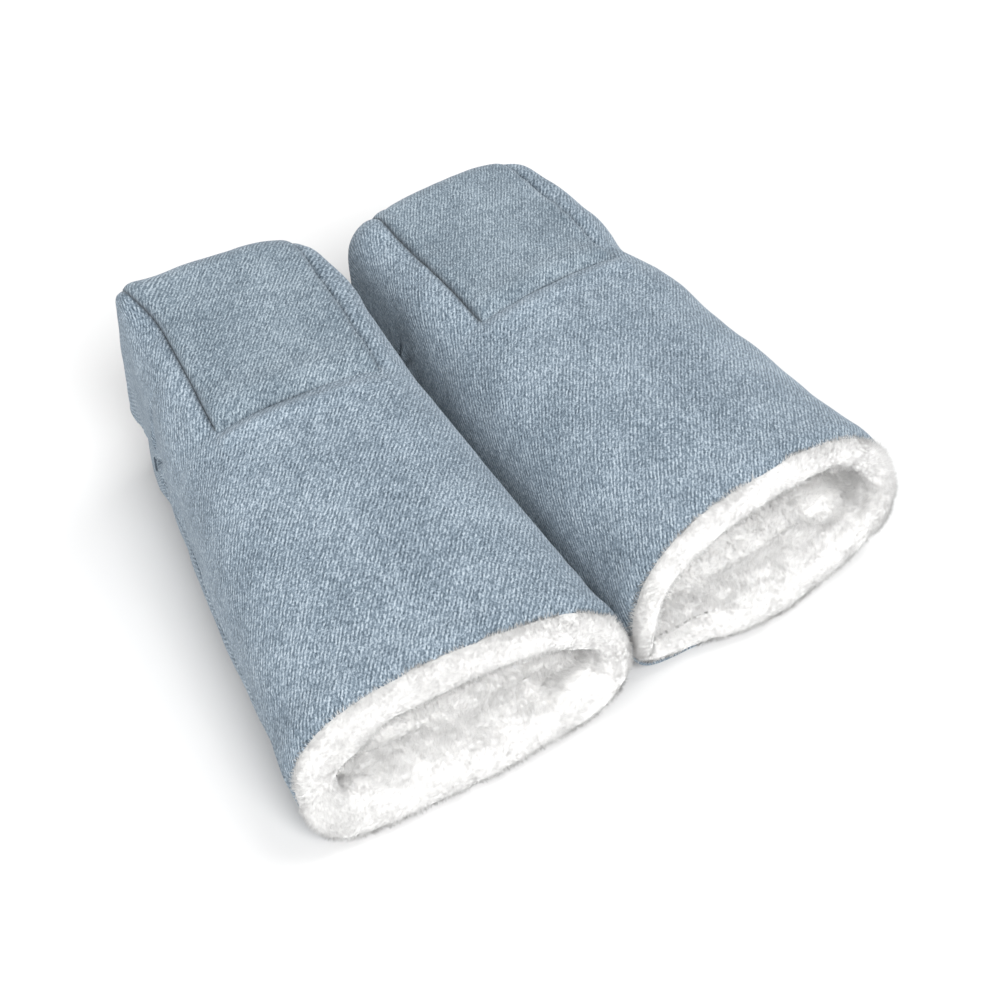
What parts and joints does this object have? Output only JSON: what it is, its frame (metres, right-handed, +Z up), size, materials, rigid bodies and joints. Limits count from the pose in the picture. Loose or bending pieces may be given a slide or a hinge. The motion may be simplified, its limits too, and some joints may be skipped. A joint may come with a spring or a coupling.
{
  "type": "stroller hand muff",
  "caption": "Padded cloth hand muffs with plush lining, open at the wrist and slotted at the head for a pushchair handlebar, each closed in front by a press-stud tab.",
  "frame": {"origin": "on the floor, under the middle of the pair's outline", "axes": "+Z up, +Y from the wrist openings towards the heads, +X towards the right muff"},
  "size_m": [0.3656, 0.314, 0.1237],
  "materials": {
    "melange_cloth": "blue-grey melange twill",
    "tab_cloth": "blue-grey melange twill, doubled",
    "wadding": "loose polyester wadding",
    "plush": "deep off-white plush pile",
    "snap_metal": "dark nickel",
    "tack_thread": "dense dark thread"
  },
  "bodies": {
    "root": {"left_upper_shell": "melange_cloth", "left_crown_shell": "melange_cloth", "left_under_shell": "melange_cloth", "left_upper_wadding": "wadding", "left_crown_wadding": "wadding", "left_under_wadding": "wadding", "left_upper_lining": "plush", "left_crown_lining": "plush", "left_under_lining": "plush", "left_wrist_cuff": "plush", "left_tab_anchor": "tab_cloth", "left_snap_stud_1": "snap_metal", "left_snap_stud_2": "snap_metal", "left_snap_post_1": "snap_metal", "left_snap_post_2": "snap_metal", "left_bar_tack_1": "tack_thread", "left_bar_tack_2": "tack_thread", "right_upper_shell": "melange_cloth", "right_crown_shell": "melange_cloth", "right_under_shell": "melange_cloth", "right_upper_wadding": "wadding", "right_crown_wadding": "wadding", "right_under_wadding": "wadding", "right_upper_lining": "plush", "right_crown_lining": "plush", "right_under_lining": "plush", "right_wrist_cuff": "plush", "right_tab_anchor": "tab_cloth", "right_snap_stud_1": "snap_metal", "right_snap_stud_2": "snap_metal", "right_snap_post_1": "snap_metal", "right_snap_post_2": "snap_metal", "right_bar_tack_1": "tack_thread", "right_bar_tack_2": "tack_thread"},
    "left_tab": {"left_closure_tab": "tab_cloth", "left_closure_tab_facing": "tab_cloth", "left_snap_socket_1": "snap_metal", "left_snap_socket_2": "snap_metal", "left_snap_cap_1": "snap_metal", "left_snap_cap_2": "snap_metal"},
    "right_tab": {"right_closure_tab": "tab_cloth", "right_closure_tab_facing": "tab_cloth", "right_snap_socket_1": "snap_metal", "right_snap_socket_2": "snap_metal", "right_snap_cap_1": "snap_metal", "right_snap_cap_2": "snap_metal"}
  },
  "joints": [
    {"name": "left_tab_hinge", "type": "hinge", "parent": "root", "child": "left_tab", "pos_m": [-0.07207, 0.14403, 0.033], "axis": [-0.9976, 0.0698, 0], "range_deg": [0, 150]},
    {"name": "right_tab_hinge", "type": "hinge", "parent": "root", "child": "right_tab", "pos_m": [0.07167, 0.14743, 0.033], "axis": [-0.9976, -0.0698, 0], "range_deg": [0, 150]}
  ]
}
